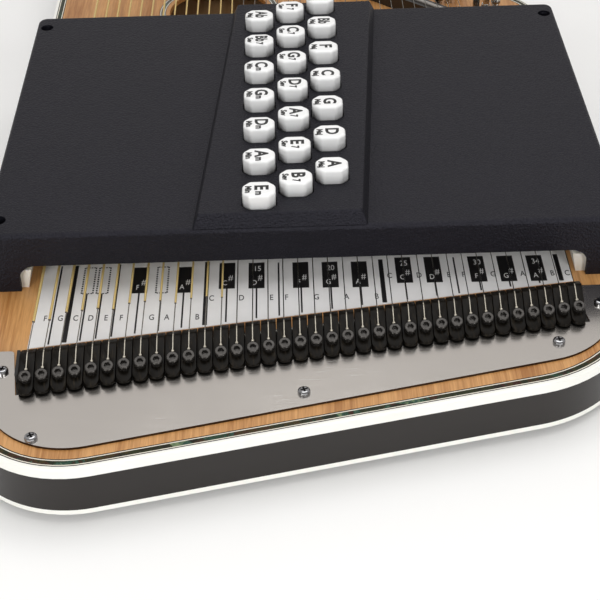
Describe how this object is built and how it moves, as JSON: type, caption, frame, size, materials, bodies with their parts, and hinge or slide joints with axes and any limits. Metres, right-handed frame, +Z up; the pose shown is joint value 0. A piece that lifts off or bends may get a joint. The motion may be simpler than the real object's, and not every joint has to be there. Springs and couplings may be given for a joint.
{
  "type": "chorded zither",
  "caption": "Chorded zither with damping chord bars under a button cover, fine tuners at the anchor end, bound and inlaid spruce top and black sides.",
  "frame": {"origin": "centre of the overall box, on the plane that the rubber feet stand on", "axes": "+Z up out of the soundboard with the instrument lying on its back, +Y along the strings from the anchor end to the tuning pins, +X across the strings from bass to treble"},
  "size_m": [0.304, 0.572, 0.077],
  "materials": {
    "spruce_top": "satin lacquered spruce, straight grain",
    "black_lacquer_wood": "gloss black lacquer over hardwood",
    "inner_wood": "bare maple and spruce",
    "white_binding": "polished white celluloid",
    "black_line": "black fibre line",
    "abalone": "polished shell, iridescent",
    "polished_plate": "satin-mirror polish",
    "chrome_screw": "chromed",
    "tuner_black": "black-brown anodised",
    "screw_steel": "plain steel",
    "string_steel": "bright drawn wire",
    "string_bronze": "bright wound bronze",
    "tuning_pin_steel": "nickel plated",
    "bridge_black": "ebonised hardwood",
    "label_card": "coated card",
    "cover_abs": "fine grained moulded ABS",
    "bar_aluminium": "black bars with white caps and felts",
    "holder_nylon": "translucent whitish nylon",
    "spring_steel": "spring wire",
    "rubber": "soft black rubber"
  },
  "bodies": {
    "body": {"soundboard": "spruce_top", "back_board": "black_lacquer_wood", "anchor_block": "black_lacquer_wood", "pin_block": "black_lacquer_wood", "bass_rail": "black_lacquer_wood", "treble_rail": "black_lacquer_wood", "soundboard_braces": "inner_wood", "top_binding": "white_binding", "back_binding": "white_binding", "purfling_black_lines": "black_line", "purfling_white_lines": "white_binding", "abalone_inlay": "abalone", "soundhole_rosette": "abalone", "bridge_base": "bridge_black", "bridge_rods": "screw_steel", "tuning_pins": "tuning_pin_steel", "wound_strings": "string_bronze", "plain_strings": "string_steel", "fine_tuner_base": "tuner_black", "fine_tuner_pivot_rod": "screw_steel", "anchor_plate": "polished_plate", "anchor_plate_screws": "chrome_screw", "note_label": "label_card", "bar_holder_bass": "holder_nylon", "bar_holder_treble": "holder_nylon", "bar_holder_screws": "screw_steel", "bar_springs": "spring_steel", "chord_bar_cover": "cover_abs", "cover_screws": "screw_steel", "rubber_feet": "rubber", "foot_screws": "screw_steel"},
    "tuner_levers": {"fine_tuner_levers": "tuner_black", "string_ends": "string_steel"},
    "tuner_screws": {"fine_tuner_screws": "screw_steel"},
    "chord_bar_01": {"chord_bar_01": "bar_aluminium"},
    "chord_bar_02": {"chord_bar_02": "bar_aluminium"},
    "chord_bar_03": {"chord_bar_03": "bar_aluminium"},
    "chord_bar_04": {"chord_bar_04": "bar_aluminium"},
    "chord_bar_05": {"chord_bar_05": "bar_aluminium"},
    "chord_bar_06": {"chord_bar_06": "bar_aluminium"},
    "chord_bar_07": {"chord_bar_07": "bar_aluminium"},
    "chord_bar_08": {"chord_bar_08": "bar_aluminium"},
    "chord_bar_09": {"chord_bar_09": "bar_aluminium"},
    "chord_bar_10": {"chord_bar_10": "bar_aluminium"},
    "chord_bar_11": {"chord_bar_11": "bar_aluminium"},
    "chord_bar_12": {"chord_bar_12": "bar_aluminium"},
    "chord_bar_13": {"chord_bar_13": "bar_aluminium"},
    "chord_bar_14": {"chord_bar_14": "bar_aluminium"},
    "chord_bar_15": {"chord_bar_15": "bar_aluminium"},
    "chord_bar_16": {"chord_bar_16": "bar_aluminium"},
    "chord_bar_17": {"chord_bar_17": "bar_aluminium"},
    "chord_bar_18": {"chord_bar_18": "bar_aluminium"},
    "chord_bar_19": {"chord_bar_19": "bar_aluminium"},
    "chord_bar_20": {"chord_bar_20": "bar_aluminium"},
    "chord_bar_21": {"chord_bar_21": "bar_aluminium"}
  },
  "joints": [
    {"name": "fine_tuner_pivot", "type": "hinge", "parent": "body", "child": "tuner_levers", "pos_m": [0, -0.20405, 0.0344], "axis": [0.9889, 0.1488, 0], "range_deg": [-1, 1.5]},
    {"name": "fine_tuner_screw_travel", "type": "slide", "parent": "body", "child": "tuner_screws", "axis": [0.0553, -0.3672, 0.9285], "range_m": [-0.000289, 0.0001925]},
    {"name": "chord_bar_01_press", "type": "slide", "parent": "body", "child": "chord_bar_01", "axis": [0, 0, -1], "range_m": [0, 0.003], "stiffness_N_per_m": 700, "springref_m": -0.0015, "deforming": ["bar_springs"]},
    {"name": "chord_bar_02_press", "type": "slide", "parent": "body", "child": "chord_bar_02", "axis": [0, 0, -1], "range_m": [0, 0.003], "stiffness_N_per_m": 700, "springref_m": -0.0015, "deforming": ["bar_springs"]},
    {"name": "chord_bar_03_press", "type": "slide", "parent": "body", "child": "chord_bar_03", "axis": [0, 0, -1], "range_m": [0, 0.003], "stiffness_N_per_m": 700, "springref_m": -0.0015, "deforming": ["bar_springs"]},
    {"name": "chord_bar_04_press", "type": "slide", "parent": "body", "child": "chord_bar_04", "axis": [0, 0, -1], "range_m": [0, 0.003], "stiffness_N_per_m": 700, "springref_m": -0.0015, "deforming": ["bar_springs"]},
    {"name": "chord_bar_05_press", "type": "slide", "parent": "body", "child": "chord_bar_05", "axis": [0, 0, -1], "range_m": [0, 0.003], "stiffness_N_per_m": 700, "springref_m": -0.0015, "deforming": ["bar_springs"]},
    {"name": "chord_bar_06_press", "type": "slide", "parent": "body", "child": "chord_bar_06", "axis": [0, 0, -1], "range_m": [0, 0.003], "stiffness_N_per_m": 700, "springref_m": -0.0015, "deforming": ["bar_springs"]},
    {"name": "chord_bar_07_press", "type": "slide", "parent": "body", "child": "chord_bar_07", "axis": [0, 0, -1], "range_m": [0, 0.003], "stiffness_N_per_m": 700, "springref_m": -0.0015, "deforming": ["bar_springs"]},
    {"name": "chord_bar_08_press", "type": "slide", "parent": "body", "child": "chord_bar_08", "axis": [0, 0, -1], "range_m": [0, 0.003], "stiffness_N_per_m": 700, "springref_m": -0.0015, "deforming": ["bar_springs"]},
    {"name": "chord_bar_09_press", "type": "slide", "parent": "body", "child": "chord_bar_09", "axis": [0, 0, -1], "range_m": [0, 0.003], "stiffness_N_per_m": 700, "springref_m": -0.0015, "deforming": ["bar_springs"]},
    {"name": "chord_bar_10_press", "type": "slide", "parent": "body", "child": "chord_bar_10", "axis": [0, 0, -1], "range_m": [0, 0.003], "stiffness_N_per_m": 700, "springref_m": -0.0015, "deforming": ["bar_springs"]},
    {"name": "chord_bar_11_press", "type": "slide", "parent": "body", "child": "chord_bar_11", "axis": [0, 0, -1], "range_m": [0, 0.003], "stiffness_N_per_m": 700, "springref_m": -0.0015, "deforming": ["bar_springs"]},
    {"name": "chord_bar_12_press", "type": "slide", "parent": "body", "child": "chord_bar_12", "axis": [0, 0, -1], "range_m": [0, 0.003], "stiffness_N_per_m": 700, "springref_m": -0.0015, "deforming": ["bar_springs"]},
    {"name": "chord_bar_13_press", "type": "slide", "parent": "body", "child": "chord_bar_13", "axis": [0, 0, -1], "range_m": [0, 0.003], "stiffness_N_per_m": 700, "springref_m": -0.0015, "deforming": ["bar_springs"]},
    {"name": "chord_bar_14_press", "type": "slide", "parent": "body", "child": "chord_bar_14", "axis": [0, 0, -1], "range_m": [0, 0.003], "stiffness_N_per_m": 700, "springref_m": -0.0015, "deforming": ["bar_springs"]},
    {"name": "chord_bar_15_press", "type": "slide", "parent": "body", "child": "chord_bar_15", "axis": [0, 0, -1], "range_m": [0, 0.003], "stiffness_N_per_m": 700, "springref_m": -0.0015, "deforming": ["bar_springs"]},
    {"name": "chord_bar_16_press", "type": "slide", "parent": "body", "child": "chord_bar_16", "axis": [0, 0, -1], "range_m": [0, 0.003], "stiffness_N_per_m": 700, "springref_m": -0.0015, "deforming": ["bar_springs"]},
    {"name": "chord_bar_17_press", "type": "slide", "parent": "body", "child": "chord_bar_17", "axis": [0, 0, -1], "range_m": [0, 0.003], "stiffness_N_per_m": 700, "springref_m": -0.0015, "deforming": ["bar_springs"]},
    {"name": "chord_bar_18_press", "type": "slide", "parent": "body", "child": "chord_bar_18", "axis": [0, 0, -1], "range_m": [0, 0.003], "stiffness_N_per_m": 700, "springref_m": -0.0015, "deforming": ["bar_springs"]},
    {"name": "chord_bar_19_press", "type": "slide", "parent": "body", "child": "chord_bar_19", "axis": [0, 0, -1], "range_m": [0, 0.003], "stiffness_N_per_m": 700, "springref_m": -0.0015, "deforming": ["bar_springs"]},
    {"name": "chord_bar_20_press", "type": "slide", "parent": "body", "child": "chord_bar_20", "axis": [0, 0, -1], "range_m": [0, 0.003], "stiffness_N_per_m": 700, "springref_m": -0.0015, "deforming": ["bar_springs"]},
    {"name": "chord_bar_21_press", "type": "slide", "parent": "body", "child": "chord_bar_21", "axis": [0, 0, -1], "range_m": [0, 0.003], "stiffness_N_per_m": 700, "springref_m": -0.0015, "deforming": ["bar_springs"]}
  ],
  "couplings": [
    {"joint": "fine_tuner_pivot", "follows": "fine_tuner_screw_travel", "rad_per_m": -90.507}
  ]
}
